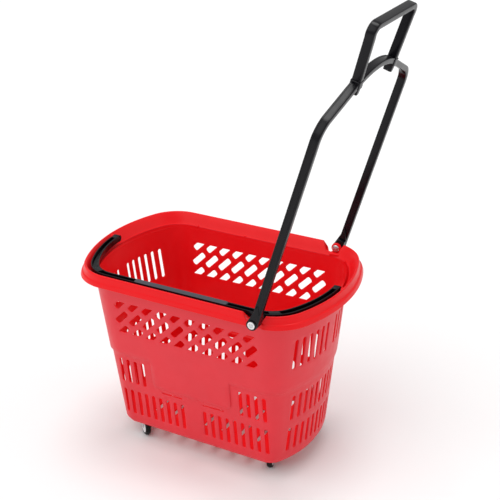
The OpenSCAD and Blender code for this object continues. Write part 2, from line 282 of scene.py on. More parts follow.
def quarter(g, k):
    """A point of one quarter: k from 0 to 1 is the bulging end, to 2 the corner, to 3 the side."""
    a, b, s, r = g
    big = (b * b + s * s) / (2 * s)
    cx, yc = a - big, b - r
    xc = cx + math.sqrt((big - r) ** 2 - yc * yc)
    turn = math.atan2(yc, xc - cx)
    if k <= 1:
        return cx + big * math.cos(turn * k), big * math.sin(turn * k)
    if k <= 2:
        t = turn + (math.pi / 2 - turn) * (k - 1)
        return xc + r * math.cos(t), yc + r * math.sin(t)
    return xc * (3 - k), b


def outline_point(g, k):
    """The point k of 12 round a whole outline, starting at the middle of the +X end."""
    k %= 12
    if k <= 3:
        return quarter(g, k)
    if k <= 6:
        x, y = quarter(g, 6 - k)
        return -x, y
    if k <= 9:
        x, y = quarter(g, k - 6)
        return -x, -y
    x, y = quarter(g, 12 - k)
    return x, -y


def where_x(g, x, side):
    """The k at which the long side (+1 or -1 in y) passes x."""
    a, b, s, r = g
    big = (b * b + s * s) / (2 * s)
    xc = a - big + math.sqrt((big - r) ** 2 - (b - r) ** 2)
    turn = math.atan2(b - r, xc - a + big)
    if abs(x) <= xc:
        k = 3 - abs(x) / xc
    else:
        k = 1 + (math.acos(min(1, (abs(x) - xc) / r)) - turn) / (math.pi / 2 - turn)
    if side > 0:
        return k if x >= 0 else 6 - k
    return 12 - k if x >= 0 else 6 + k


def where_y(g, y, side):
    """The k at which the end (+1 or -1 in x) passes y."""
    a, b, s, r = g
    big = (b * b + s * s) / (2 * s)
    xc = a - big + math.sqrt((big - r) ** 2 - (b - r) ** 2)
    turn = math.atan2(b - r, xc - a + big)
    if abs(y) <= big * math.sin(turn):
        k = math.asin(abs(y) / big) / turn
    else:
        k = 1 + (math.asin(min(1, (abs(y) - b + r) / r)) - turn) / (math.pi / 2 - turn)
    if side > 0:
        return k if y >= 0 else 12 - k
    return 6 - k if y >= 0 else 6 + k


def wall_at(depth, inset=0.0):
    u = depth / HEIGHT
    a, b, s, r = (p * (1 - u) + q * u for p, q in zip(WALL_TOP, WALL_BASE))
    return a - inset, b - inset, s, r - inset


def rim_at(x, y):
    return RIM[0] + x, RIM[1] + y, RIM[2], RIM[3] + y


END_STEPS, CORNER_STEPS, SIDE_STEPS = 12, 18, 12


def stations():
    """The k of every ring point: close together round the corners."""
    quarter_ks = ([i / END_STEPS for i in range(END_STEPS)]
                  + [1 + i / CORNER_STEPS for i in range(CORNER_STEPS)]
                  + [2 + i / SIDE_STEPS for i in range(SIDE_STEPS)])
    half = quarter_ks + [6 - k for k in [3] + quarter_ks[:0:-1]]
    return half + [6 + k for k in half]


STATIONS = stations()


def ring(g, depth):
    return [at(*outline_point(g, k), depth) for k in STATIONS]


# ---- Basket walls: a sheet with slots, drawn flat and wrapped round the outline ----

LENGTHS = (95, 90, 160)
QUARTER = sum(LENGTHS)


def flat_u(k):
    """Distance round the flat drawing for a point k of the outline."""
    q, part = divmod(k, 3)
    part = part if q % 2 == 0 else 3 - part
    i = min(int(part), 2)
    u = sum(LENGTHS[:i]) + (part - i) * LENGTHS[i]
    return q * QUARTER + (u if q % 2 == 0 else QUARTER - u)


def round_k(u):
    """The point k of the outline for a distance round the flat drawing."""
    q, u = divmod(u, QUARTER)
    u = u if q % 2 == 0 else QUARTER - u
    k = 0
    for length in LENGTHS:
        if u <= length:
            k += u / length
            break
        u -= length
        k += 1
    k = min(k, 3)
    return 3 * q + (k if q % 2 == 0 else 3 - k)


PANEL_HALF, PANEL_LOW, PANEL_R = 90, 250, 9
STEP_LINES = ((0, 0.0), (0.5, 0.35), (1.5, 2.65), (2.0, 3.0))


def step_distance(x, depth, long_side):
    """How far a point lies outside the part of the wall that stands proud."""
    below = depth - STEP
    if not long_side:
        return below
    dx, dy = abs(x) - PANEL_HALF + PANEL_R, depth - PANEL_LOW + PANEL_R
    panel = math.hypot(max(dx, 0), max(dy, 0)) + min(max(dx, dy), 0) - PANEL_R
    return min(below, panel)


def step_inset(distance):
    for (d0, i0), (d1, i1) in zip(STEP_LINES, STEP_LINES[1:]):
        if distance <= d1:
            return i0 + (i1 - i0) * max(0, (distance - d0) / (d1 - d0))
    return INSET


def wall_point(u, depth, inset):
    k = round_k(u)
    g = wall_at(depth)
    x = outline_point(g, k)[0]
    proud = step_inset(step_distance(x, depth, 1.6 < k % 6 < 4.4))
    return at(*outline_point(wall_at(depth, proud + inset), k), depth)


def slot_outline(w, h, r, turn=0.0, cut=None):
    """A slot about the origin, (x, depth); cut keeps only what lies between two depths."""
    c, s = math.cos(math.radians(turn)), math.sin(math.radians(turn))
    pts = [(x * c - y * s, x * s + y * c) for x, y in rounded(w, h, r, 4)]
    if not cut:
        return pts
    for edge, sign in ((cut[0], 1), (cut[1], -1)):
        kept = []
        for p, q in zip(pts, pts[1:] + pts[:1]):
            inside_p, inside_q = sign * (p[1] - edge) >= 0, sign * (q[1] - edge) >= 0
            if inside_p:
                kept.append(p)
            if inside_p != inside_q:
                t = (edge - p[1]) / (q[1] - p[1])
                kept.append((p[0] + t * (q[0] - p[0]), edge))
        pts = kept
    return soften([p for p, q in zip(pts, pts[1:] + pts[:1]) if math.dist(p, q) > 0.05])


def soften(pts, r=1.6):
    """Rounds the corners of an outline that turn sharply."""
    out = []
    for i, p in enumerate(pts):
        a, b = Vector(pts[i - 1]), Vector(pts[(i + 1) % len(pts)])
        v = Vector(p)
        into, away = (v - a), (b - v)
        if into.angle(away) > math.radians(32) and min(into.length, away.length) > 2 * r:
            p0, p1 = v - into.normalized() * r, v + away.normalized() * r
            out += [tuple(p0), tuple((p0 + p1 + 2 * v) / 4), tuple(p1)]
        else:
            out.append(p)
    return out


def grow(pts, e):
    """The outline moved outwards by e; the points run anticlockwise or clockwise."""
    area = sum(p[0] * q[1] - q[0] * p[1] for p, q in zip(pts, pts[1:] + pts[:1]))
    sign = 1 if area > 0 else -1
    out = []
    for i, p in enumerate(pts):
        a, b = Vector(pts[i - 1]), Vector(pts[(i + 1) % len(pts)])
        n1 = Vector((p[1] - a.y, a.x - p[0])).normalized()
        n2 = Vector((b.y - p[1], p[0] - b.x)).normalized()
        n = (n1 + n2).normalized()
        out.append((p[0] + sign * e * n.x, p[1] + sign * e * n.y))
    return out


def wall_slots():
    """Every slot: its outline, where it lies and how to find it round the wall."""
    slots = []
    for side in (1, -1):
        for i in range(10):
            for k in (-1, 0, 1):
                x, depth = (i - 4.5) * 32.3 - 1.5 * k, 96.4 + 34 * k
                pts = slot_outline(12.5, 36, 4, 45, (60 - depth, 132.8 - depth))
                slots.append(([(x + px, depth + py) for px, py in pts], where_x, side))
        for m in (-1, 1):
            spots = ([(m * (113 + i * 17.4), 231, 7.6, 58) for i in range(4)]
                     + [(m * (26 + i * 17.4), 309, 7.6, 61) for i in range(9)]
                     + [(m * 48, 263, 48, 2.6)])
            for x, depth, w, h in spots:
                pts = rounded(w, h, min(w, h) / 2 - 0.02, 4)
                slots.append(([(x + px, depth + py) for px, py in pts], where_x, side))
    for side in (1, -1):
        for m in (-1, 1):
            for i in range(6):
                for y, depth, h in ((18 + i * 17.6, 105, 66), (8.5 + i * 16.6, 236, 58),
                                    (8.5 + i * 16.6, 313, 57)):
                    pts = rounded(7.6, h, 3.78, 4)
                    slots.append(([(m * y + px, depth + py) for px, py in pts], where_y, side))
    return slots


WALL_TOP_DEPTH, WALL_LOW_DEPTH = 24, 352
SLOT_BEVEL = 0.55


def to_flat(where, side, p):
    inset = step_inset(step_distance(p[0], p[1], where is where_x))
    return flat_u(where(wall_at(p[1], inset), p[0], side)), p[1]


def step_lines():
    """Lines in the flat drawing along the step, for each long side's panel."""
    lines = []
    for d, _ in STEP_LINES:
        r = PANEL_R + d
        low, half = PANEL_LOW + d, PANEL_HALF + d
        pts = ([(half, STEP + d + i * (low - r - STEP - d) / 5) for i in range(6)]
               + arc(half - r, low - r, r, 0, 90, 6)[1:]
               + [(half - r - i * (half - r) / 8, low) for i in range(1, 9)])
        whole = pts + [(-x, t) for x, t in pts[-2::-1]]
        for side in (1, -1):
            lines.append([to_flat(where_x, side, p) for p in whole])
    return lines


def basket_walls():
    verts, edges, owner = [], [], []

    def chain(points, tag, closed):
        first = len(verts)
        verts.extend(points)
        owner.extend([tag] * len(points))
        n = len(points)
        edges.extend([(first + i, first + (i + 1) % n) for i in range(n if closed else n - 1)])
        return first

    slots = []
    for number, (pts, where, side) in enumerate(wall_slots()):
        outer = [to_flat(where, side, p) for p in grow(pts, SLOT_BEVEL)]
        inner = [to_flat(where, side, p) for p in pts]
        slots.append((chain(outer, number, True), inner))
    panels = step_lines()
    for line in panels:
        chain(line, None, False)
    rows = [WALL_TOP_DEPTH] + list(range(34, WALL_LOW_DEPTH - 6, 11)) + [WALL_LOW_DEPTH]
    rows = [r for r in rows if abs(r - STEP - 1) > 5]
    us = [flat_u(k) for k in STATIONS] + [4 * QUARTER]
    edge_rows = sorted(set(rows + [STEP + d for d, _ in STEP_LINES]))
    for u in (us[0], us[-1]):
        chain([(u, t) for t in edge_rows], None, False)
    chain([(u, rows[0]) for u in us[1:-1]], None, False)
    chain([(u, rows[-1]) for u in us[1:-1]], None, False)
    # The step runs level all the way round, except across the panels
    for (d, _), pair in zip(STEP_LINES, zip(panels[::2], panels[1::2])):
        gaps = [(min(p[0] for p in line if p[1] < STEP + 5), max(p[0] for p in line
                 if p[1] < STEP + 5)) for line in pair]
        for u in us[1:-1]:
            if not any(a - 1 < u < b + 1 for a, b in gaps):
                verts.append((u, STEP + d))
                owner.append(None)
    taken = {}
    for i, v in enumerate(verts):
        taken.setdefault((int(v[0] // 8), int(v[1] // 8)), []).append(v)

    def clear(u, t, reach):
        cells = ((int(u // 8) + i, int(t // 8) + j) for i in (-1, 0, 1) for j in (-1, 0, 1))
        return all(math.dist((u, t), v) > reach for c in cells for v in taken.get(c, ()))

    boxes = []
    for first, inner in slots:
        n = len(inner)
        pts = verts[first:first + n]
        boxes.append((min(p[0] for p in pts), max(p[0] for p in pts), min(p[1] for p in pts),
                      max(p[1] for p in pts), pts))
    for t in rows[1:-1]:
        for u in us[1:-1]:
            inside = any(a < u < b and c < t < d and in_polygon(u, t, pts)
                         for a, b, c, d, pts in boxes)
            if not inside and clear(u, t, 2.2):
                verts.append((u, t))
                owner.append(None)
    out_verts, _, out_faces, from_verts, _, _ = delaunay_2d_cdt(
        [Vector(v) for v in verts], edges, [], 0, 1e-4)
    tag = [next((owner[i] for i in source if owner[i] is not None), None)
           for source in from_verts]
    faces = [f for f in out_faces
             if tag[f[0]] is None or not tag[f[0]] == tag[f[1]] == tag[f[2]]]
    build = Build()
    flat = [(v[0], v[1]) for v in out_verts]
    build.add([wall_point(u, t, 0) for u, t in flat], faces)
    build.add([wall_point(u, t, WALL) for u, t in flat], [f[::-1] for f in faces])
    for first, inner in slots:
        outer = verts[first:first + len(inner)]
        build.skin([[wall_point(*p, 0) for p in outer],
                    [wall_point(*p, 0.18) for p in mid(outer, inner)],
                    [wall_point(*p, SLOT_BEVEL) for p in inner],
                    [wall_point(*p, WALL - SLOT_BEVEL) for p in inner],
                    [wall_point(*p, WALL - 0.18) for p in mid(outer, inner)],
                    [wall_point(*p, WALL) for p in outer]])
    return two_reds(build.object("basket_walls", red, "basket", "basket_shell", angle=50))


def two_reds(obj):
    """The outside of the basket is duller than the inside, and its colour is painted pinker: a
    painted sheen, the reflection of the bright surroundings on the outer faces.
    """
    obj.data.materials.append(red_outside_painted_sheen)
    for p in obj.data.polygons:
        outwards = Vector((p.center.x - middle_x, p.center.y)).dot(p.normal.to_2d())
        p.material_index = 1 if outwards > 0.01 else 0
    return obj


def mid(outer, inner):
    return [(p[0] * 0.3 + q[0] * 0.7, p[1] * 0.3 + q[1] * 0.7) for p, q in zip(outer, inner)]


def in_polygon(x, y, pts):
    inside = False
    for (x0, y0), (x1, y1) in zip(pts, pts[1:] + pts[:1]):
        if (y0 > y) != (y1 > y) and x < x0 + (y - y0) * (x1 - x0) / (y1 - y0):
            inside = not inside
    return inside


# ---- Rim ----

def rim_rings():
    """The rim's closed section: down the outside of the skirt's back, round it and inwards."""
    out = []
    for g, depth in ((wall_at(33, 0.8), 33), (wall_at(31.5, -0.2), 31.5), (wall_at(30, -0.6), 30),
                     (rim_at(-11.4, -11.4), 25.5), (rim_at(-2.4, -2.2), 6), (rim_at(0, 0.6), 9),
                     (rim_at(1.6, 2.0), 15), (rim_at(6, 3.2), 24.2), (rim_at(6.6, 3.6), 25),
                     (rim_at(8.6, 4.6), 25.2), (rim_at(9.2, 5.1), 24.6), (rim_at(9.0, 5.0), 23),
                     (rim_at(7.3, 3.7), 17.6), (rim_at(6.9, 3.5), 16.4), (rim_at(5.9, 3.2), 15.5),
                     (rim_at(3.6, 2.8), 14.6), (rim_at(2.8, 2.6), 13.4), (rim_at(1.3, 0.9), 4),
                     (rim_at(1.0, 0.7), 2.4), (rim_at(0.5, 0.25), 1.1), (rim_at(-0.3, -0.4), 0.25),
                     (rim_at(-1.3, -1.3), 0), (rim_at(-2.3, -2.3), 0.35), (rim_at(-3.1, -3.1), 1.2),
                     (rim_at(-8.6, -8.6), 12), (rim_at(-13.2, -13.2), 21.8),
                     (rim_at(-14.0, -14.0), 23.1), (rim_at(-14.9, -14.9), 23.9),
                     (wall_at(29, 2.2), 28.6), (wall_at(30, 2.75), 29.8), (wall_at(33, 2.3), 33)):
        out.append(ring(g, depth))
    return out


LEAN = 17.6
PULL_X = (pull_hinge.x - middle_x) / MM
HINGE_DEPTH = (rim_z - pull_hinge.z) / MM
NOTCH_LEFT = PULL_X - 22.6


def stop_x(depth):
    """The notch's edge that the raised arm rests against."""
    lean = math.radians(LEAN)
    return PULL_X + 11.3 / math.cos(lean) + (HINGE_DEPTH - depth) * math.tan(lean)


def notch_cutters():
    """The cut through the skirt round the handle's foot, and the shallower one inside it."""
    cutters = []
    left = [(NOTCH_LEFT - 6, -2)] + arc(NOTCH_LEFT - 5, 5, 5, -90, 0, 5)
    stop = stop_x(HINGE_DEPTH)
    for low, high, pts in (
            (169.2, 200, left + [(NOTCH_LEFT + 3, 34), (stop, 34), (stop, HINGE_DEPTH),
                                 (stop_x(1), 1), (stop_x(0) + 3, -2)]),
            (145, 200, [(NOTCH_LEFT - 9, -2), (NOTCH_LEFT - 6, 3), (NOTCH_LEFT + 3, 17),
                        (PULL_X, 20), (PULL_X + 9, 17), (PULL_X + 12, 7), (stop_x(6), 6),
                        (stop_x(0) + 3, -2)])):
        for side in (1, -1):
            y_axis = Vector((0, side, 0))
            m = Matrix((Vector((1, 0, 0)), Vector((0, 0, -1)), y_axis)).transposed().to_4x4()
            m.translation = at(0, 0, 0)
            cutters.append(prism(pts, low, high, m))
    return cutters


def cut(obj, cutters):
    """Cuts bmesh solids out of a piece."""
    for bm in cutters:
        mesh = bpy.data.meshes.new("cutter")
        bmesh.ops.recalc_face_normals(bm, faces=bm.faces)
        bm.to_mesh(mesh)
        bm.free()
        tool = bpy.data.objects.new("cutter", mesh)
        bpy.context.scene.collection.objects.link(tool)
        modifier = obj.modifiers.new("cut", "BOOLEAN")
        modifier.object = tool
        modifier.solver = "EXACT"
        graph = bpy.context.evaluated_depsgraph_get()
        done = bpy.data.meshes.new_from_object(obj.evaluated_get(graph))
        obj.modifiers.clear()
        obj.data = done
        bpy.data.objects.remove(tool)
    smooth(obj.data, 34)


def basket_rim():
    build = Build()
    build.skin(rim_rings(), loop=True)
    obj = build.object("basket_rim", red, "basket", "basket_shell", angle=34)
    cut(obj, notch_cutters())
    return obj


def rim_fittings():
    """The lugs in the notches, the pegs' bosses and the small gussets under the skirt."""
    parts = []
    for side in (1, -1):
        origin = pull_hinge.copy()
        m = frame_at(origin, (0, side, 0), (1, 0, 0))
        parts.append(lathe([(4.1, 165.5), (9.6, 165.5), (10.2, 165.8), (10.5, 166.4),
                            (10.5, 170.2), (10.2, 170.8), (9.6, 171), (4.1, 171), (4.1, 165.5)],
                           m))
        up = Matrix((Vector((1, 0, 0)), Vector((0, 0, 1)), Vector((0, side, 0))))
        up = up.transposed().to_4x4()
        up.translation = origin
        parts.append(prism([(-10.3, -8.2), (10.3, -8.2), (11, -18), (-11, -18)], 155, 168, up, 1.0))
        for x, depth, size in ((-34, 27, 13), (206, 27, 13), (-150, 27, 10)):
            y = outline_point(wall_at(depth), where_x(wall_at(depth), x, side))[1]
            m = Matrix((Vector((0, side, 0)), Vector((0, 0, -1)), Vector((1, 0, 0))))
            m = m.transposed().to_4x4()
            m.translation = at(x, 0, depth - 2)
            parts.append(prism([(abs(y) - 1.5, -3), (abs(y) + size, -3), (abs(y) + size, -1),
                                (abs(y) - 2.5, size + 2)], -1, 1, m, 0.3, 2))
    for side in (1, -1):
        m = frame_at(carry_hinge, (side, 0, 0), (0, 1, 0))
        parts.append(lathe([(3.1, 262), (5.2, 262), (5.7, 262.4), (5.9, 270), (3.1, 270),
                            (3.1, 262)], m, 32))
    return place("rim_fittings", join(parts), red, "basket", "basket_shell", 34)


# ---- Base ----

def floor_holes():
    pts = rounded(9, 44, 3.9, 4)
    return [[(x * 40 + px, y * 62 + py) for px, py in pts]
            for x in range(-4, 5) for y in (-1, 0, 1) if abs(x) < 4 or y == 0]


def plate(build, outline, holes, depths, bevel=0.6):
    """A flat plate between two depths, with holes whose edges are rounded over."""
    verts, edges, tags = [], [], []
    for number, pts in [(None, outline)] + list(enumerate(grow(h, bevel) for h in holes)):
        first = len(verts)
        verts += pts
        tags += [number] * len(pts)
        edges += [(first + i, first + (i + 1) % len(pts)) for i in range(len(pts))]
    for x in range(-180, 181, 20):
        for y in range(-100, 101, 20):
            if in_polygon(x, y, outline) and not any(in_polygon(x, y, grow(h, 3)) for h in holes):
                verts.append((x, y))
                tags.append(None)
    made = delaunay_2d_cdt([Vector(v) for v in verts], edges, [], 0, 1e-4)
    tag = [next((tags[i] for i in source if tags[i] is not None), None) for source in made[3]]
    faces = [f for f in made[2]
             if tag[f[0]] is None or not tag[f[0]] == tag[f[1]] == tag[f[2]]]
    flat = [(v[0], v[1]) for v in made[0]]
    for depth in depths:
        build.add([at(*p, depth) for p in flat], faces)
    top, low = depths
    for h in holes:
        wide = grow(h, bevel)
        near = [(a[0] * 0.3 + b[0] * 0.7, a[1] * 0.3 + b[1] * 0.7) for a, b in zip(wide, h)]
        build.skin([[at(*p, d) for p in pts] for pts, d in
                    ((wide, top), (near, top + 0.2), (h, top + bevel), (h, low - bevel),
                     (near, low - 0.2), (wide, low))])


def basket_base():
    low = INSET
    build = Build()
    inner = wall_at(FLOOR, low + WALL + 4)
    floor_outline = [outline_point(inner, k) for k in STATIONS]
    rings = [ring(inner, FLOOR), ring(wall_at(FLOOR - 0.5, low + WALL + 2.2), FLOOR - 0.5),
             ring(wall_at(FLOOR - 2, low + WALL + 0.7), FLOOR - 2),
             ring(wall_at(FLOOR - 4.5, low + WALL + 0.05), FLOOR - 4.5),
             ring(wall_at(FLOOR - 6, low + WALL - 0.3), FLOOR - 6),
             ring(wall_at(FLOOR - 2, low + 0.4), FLOOR - 2),
             ring(wall_at(WALL_LOW_DEPTH - 0.5, low + 0.02), WALL_LOW_DEPTH - 0.5),
             ring(wall_at(356, low), 356), ring(wall_at(358.6, low + 0.35), 358.6),
             ring(wall_at(360.3, low + 1.3), 360.3), ring(wall_at(361, low + 2.8), 361),
             ring(wall_at(361.3, low + 3.2), 361.3), ring(wall_at(364.4, low + 3.2), 364.4),
             ring(wall_at(365, low + 3.6), 365), ring(wall_at(365, low + WALL + 2.8), 365),
             ring(wall_at(364.4, low + WALL + 3.3), 364.4), ring(wall_at(349, low + WALL), 349)]
    build.skin(rings)
    plate(build, floor_outline, floor_holes(), (FLOOR, FLOOR + 3))
    build.skin([ring(wall_at(349, low + WALL), 349), ring(inner, 349)])
    return two_reds(build.object("basket_base", red, "basket", "basket_shell", angle=34))


caster_spots = {name[len("swivel_"):]: j for name, j in hinges.items()
                if name.startswith("swivel_")}


def base_fittings():
    """Sockets for the casters, and ribs that stiffen the floor from below."""
    parts = []
    floor_low = (rim_z / MM) - FLOOR - 3
    for j in caster_spots.values():
        x, y, _ = j["pos_m"]
        m = Matrix.Translation((x, y, 0))
        parts.append(lathe([(7.52, 44), (10.4, 44), (11, 44.6), (11, floor_low - 1.5),
                            (12.6, floor_low + 0.2)], m))
        for turn in range(4):
            t = math.radians(45 + 90 * turn)
            rib = Matrix((Vector((math.cos(t), math.sin(t), 0)), Vector((0, 0, 1)),
                          Vector((math.sin(t), -math.cos(t), 0)))).transposed().to_4x4()
            rib.translation = Vector((x, y, 0))
            parts.append(prism([(10, 46), (14, 50), (19, floor_low + 0.5), (10, floor_low + 0.5)],
                               -0.9, 0.9, rib, 0.25, 2))
    return place("base_fittings", join(parts), red, "basket", "basket_shell", 34)


basket_walls()
basket_rim()
rim_fittings()
basket_base()
base_fittings()

# ---- Carry handle ----

CARRY = (259.5, 160.5, 55, 69)
CARRY_WIDE = 13
CARRY_HIGH = 13
CARRY_TOP = carry_hinge.z / MM + CARRY_HIGH / 2


def sweep_band(build, section, ks):
    """Sweeps (inset, height) points along the U, through the given points of its outline."""
    rings = [[Vector((middle_x + x * MM, y * MM, height * MM)) for x, y in
              (outline_point((CARRY[0] - inset, CARRY[1] - inset, CARRY[2], CARRY[3] - inset), k)
               for k in ks)] for inset, height in section]
    n, m = len(ks), len(section)
    faces = []
    for k in range(m):
        a, b = k * n, (k + 1) % m * n
        faces += [[a + i, a + i + 1, b + i + 1, b + i] for i in range(n - 1)]
    faces.append([k * n for k in range(m)])
    faces.append([k * n + n - 1 for k in range(m)][::-1])
    build.add([v for r in rings for v in r], faces)


def between(low, high, steps):
    return [low + (high - low) * i / steps for i in range(steps + 1)]


def carry_handle():
    """A channel open upwards, closed at its ends and corners, with a pivot disc and peg each."""
    low, top = CARRY_TOP - CARRY_HIGH, CARRY_TOP
    c, wide = 0.7, CARRY_WIDE
    section = [(c, low), (0.2, low + 0.2), (0, low + c), (0, top - 0.5), (0.3, top), (1.5, top),
               (1.9, top - 0.4), (2.2, low + 3.4), (3.0, low + 2.8), (wide - 3.6, low + 2.8),
               (wide - 2.9, low + 3.4), (wide - 2.6, top - 0.4), (wide - 2.2, top),
               (wide - 0.5, top), (wide, top - 0.5), (wide, low + c), (wide - 0.2, low + 0.2),
               (wide - c, low)]
    plug = [(1.6, low + 2), (1.6, top - 0.3), (2.2, top - 0.1), (wide - 2.6, top - 0.1),
            (wide - 2.0, top - 0.3), (wide - 2.0, low + 2)]
    build = Build()
    sweep_band(build, section, [6] + [k for k in STATIONS if 6 < k < 12] + [12])
    for m in (-1, 1):
        ends = sorted(where_x(CARRY, m * x, -1) for x in (192, 212))
        sweep_band(build, plug, between(*ends, 5))
        ends = sorted((where_y(CARRY, -12, m), 12 if m > 0 else 6))
        sweep_band(build, plug, between(*ends, 3))
    channel = bmesh.new()
    mesh = bpy.data.meshes.new("channel")
    mesh.from_pydata(build.verts, [], build.faces)
    channel.from_mesh(mesh)
    bmesh.ops.recalc_face_normals(channel, faces=channel.faces)
    parts = [channel]
    for side in (1, -1):
        axis = frame_at(carry_hinge, (side, 0, 0), (0, 1, 0))
        inner = CARRY[0] - wide
        parts.append(lathe([(0, inner), (6.2, inner), (6.8, inner + 0.2), (7, inner + 0.8),
                            (7, CARRY[0] - 0.8), (6.8, CARRY[0] - 0.2), (6.2, CARRY[0]),
                            (3, CARRY[0]), (3, 266), (2.5, 266.5), (0, 266.5)], axis))
    return place("carry_channel", join(parts), black, "carry_handle", "carry_handle", 34)


def carry_grip():
    """The rounded grip on the middle of the channel."""
    half, steps = 102, 68
    y0, y1 = -CARRY[1] + 0.2, -CARRY[1] + CARRY_WIDE - 0.2
    low, top = CARRY_TOP - 3.2, CARRY_TOP + 1.4
    build = Build()
    rings = []
    for i in range(steps + 1):
        x = -half + 2 * half * i / steps
        end = min(half - abs(x), 3) / 3
        shrink = 1.2 * (1 - math.sqrt(max(0, 1 - (1 - end) ** 2)))
        wide, high = (y1 - y0) - 2 * shrink, (top - low) - shrink
        pts = rounded(wide, high, min(1.9, high / 2 - 0.05), 5)
        rings.append([Vector((middle_x + x * MM, ((y0 + y1) / 2 + py) * MM,
                              (low + high / 2 + pz) * MM)) for py, pz in pts])
    build.skin(rings, caps=True)
    return build.object("carry_pad", grey, "carry_handle", "carry_grip", 34)


carry_handle()
carry_grip()

# ---- Pull handle ----

LEAN_R = math.radians(LEAN)
UP_ARM = Vector((math.sin(LEAN_R), 0, math.cos(LEAN_R)))
FRONT = Vector((math.cos(LEAN_R), 0, -math.sin(LEAN_R)))
OFFSET = 3
ARM_WIDE, ARM_DEEP = 11, 16


def handle_point(y, s, n):
    """A point of the pull handle: across, up the arms and forwards from the hinge axis."""
    return pull_hinge + (UP_ARM * s + FRONT * n) * MM + Vector((0, y * MM, 0))


ARM_Y, BEND_Y, BEND_S, BEND_R, SLOPE, ARCH_R = 186, 184, 383, 40, 24.5, 200


def half_line():
    """The middle line of the frame's right half, from the foot to the crown: (y, s)."""
    end = (BEND_Y - BEND_R * (1 - math.cos(math.radians(90 - SLOPE))),
           BEND_S + BEND_R * math.cos(math.radians(SLOPE)))
    arch_y = ARCH_R * math.sin(math.radians(SLOPE))
    crown = (end[1] + (end[0] - arch_y) * math.tan(math.radians(SLOPE))
             + ARCH_R * (1 - math.cos(math.radians(SLOPE))))
    pts = [(ARM_Y + (BEND_Y - ARM_Y) * i / 12, BEND_S * i / 12) for i in range(12)]
    pts += [(BEND_Y - BEND_R * (1 - math.cos(math.radians(t))),
             BEND_S + BEND_R * math.sin(math.radians(t)))
            for t in ((90 - SLOPE) * i / 12 for i in range(13))]
    pts += [(end[0] + (arch_y - end[0]) * i / 5,
             end[1] + (end[0] - arch_y) * i / 5 * math.tan(math.radians(SLOPE)))
            for i in range(1, 5)]
    pts += [(ARCH_R * math.sin(math.radians(t)), crown - ARCH_R * (1 - math.cos(math.radians(t))))
            for t in (SLOPE * (1 - i / 12) for i in range(13))]
    return pts


def mirrored(line):
    return [(-y, s) for y, s in line]


def sweep(line, section):
    """Sweeps (outwards, forwards) section points along a line in the handle's plane."""
    rings = []
    for i, p in enumerate(line):
        a, b = line[max(i - 1, 0)], line[min(i + 1, len(line) - 1)]
        d = Vector((b[0] - a[0], b[1] - a[1])).normalized()
        side = Vector((d.y, -d.x))
        shape = section(i / (len(line) - 1)) if callable(section) else section
        rings.append([handle_point(p[0] + side.x * w, p[1] + side.y * w, OFFSET + n)
                      for w, n in shape])
    bm = bmesh.new()
    rows = [[bm.verts.new(v) for v in r] for r in rings]
    for r0, r1 in zip(rows, rows[1:]):
        for i in range(len(r0)):
            j = (i + 1) % len(r0)
            bm.faces.new((r0[i], r0[j], r1[j], r1[i]))
    bm.faces.new(rows[0])
    bm.faces.new(rows[-1][::-1])
    bmesh.ops.recalc_face_normals(bm, faces=bm.faces)
    return bm


def grooved(wide, deep, r=1.6, groove=0.9, half=4.2):
    """A bar's section with a shallow channel along its outer face."""
    x, y = wide / 2, deep / 2
    return (arc(x - r, y - r, r, 0, 90, 3) + arc(-x + r, y - r, r, 90, 180, 3)
            + arc(-x + r, -y + r, r, 180, 270, 3) + arc(x - r, -y + r, r, 270, 360, 3)
            + [(x, -half - 0.7), (x - groove, -half), (x - groove, half), (x, half + 0.7)])


def pull_frame():
    line = half_line()
    whole = line + mirrored(line)[-2::-1]
    parts = [sweep(whole, grooved(ARM_WIDE, ARM_DEEP))]
    for side in (1, -1):
        m = Matrix((FRONT, UP_ARM, Vector((0, side, 0)))).transposed().to_4x4()
        m.translation = pull_hinge
        outer = ARM_Y + ARM_WIDE / 2
        front, back = OFFSET + ARM_DEEP / 2, OFFSET - ARM_DEEP / 2
        root = arc(0, 0, 11, 125, 360, 18) + [(front, 18), (back, 18)]
        web = arc(0, 0, 10.9, 165, 360, 16) + [(front - 0.1, 20), (0.2, 44)]
        parts.append(prism(root, 171.3, 178, m, 0.8))
        parts.append(prism(web, 176.9, outer, m, 1.0))
        parts.append(prism(arc(OFFSET, 0, 8, 180, 360, 12) + [(front, 6), (back, 6)],
                           ARM_Y - ARM_WIDE / 2 + 0.05, outer - 0.1, m, 1.2))
        axle = frame_at(pull_hinge, (0, side, 0), (1, 0, 0))
        parts.append(lathe([(0, outer - 2), (10.5, outer - 2), (10.5, 192.4), (10.2, 193.1),
                            (9.4, 193.5), (7.9, 193.5), (7.6, 192.9), (4.1, 192.9), (0, 192.9)],
                           axle))
        parts.append(leg_block(side))
    return place("pull_frame", join(parts), black, "pull_handle", "pull_handle_frame", 34)


LOW_Y, TOP_Y, LOW_S, TOP_S = 73, 86, 439, 564
LOOP_BAR, LOOP_DEEP = 12, 17
LEG_LEAN = math.atan2(TOP_Y - LOW_Y, TOP_S - LOW_S)


def leg_y(s):
    return LOW_Y + (s - LOW_S) * math.tan(LEG_LEAN)


def leg_block(side):
    """The collar of the arch round a leg of the grip loop."""
    s = LOW_S + 18.5
    line = [(side * leg_y(s + d), s + d) for d in (-7.5, -6.4, 6.4, 7.5)]

    def shape(t):
        d = 0 if 0.01 < t < 0.99 else 1.1
        return rounded(LOOP_BAR + 5 - 2 * d, ARM_DEEP + 3 - 2 * d, 2.6 - d, 4)
    return sweep(line, shape)


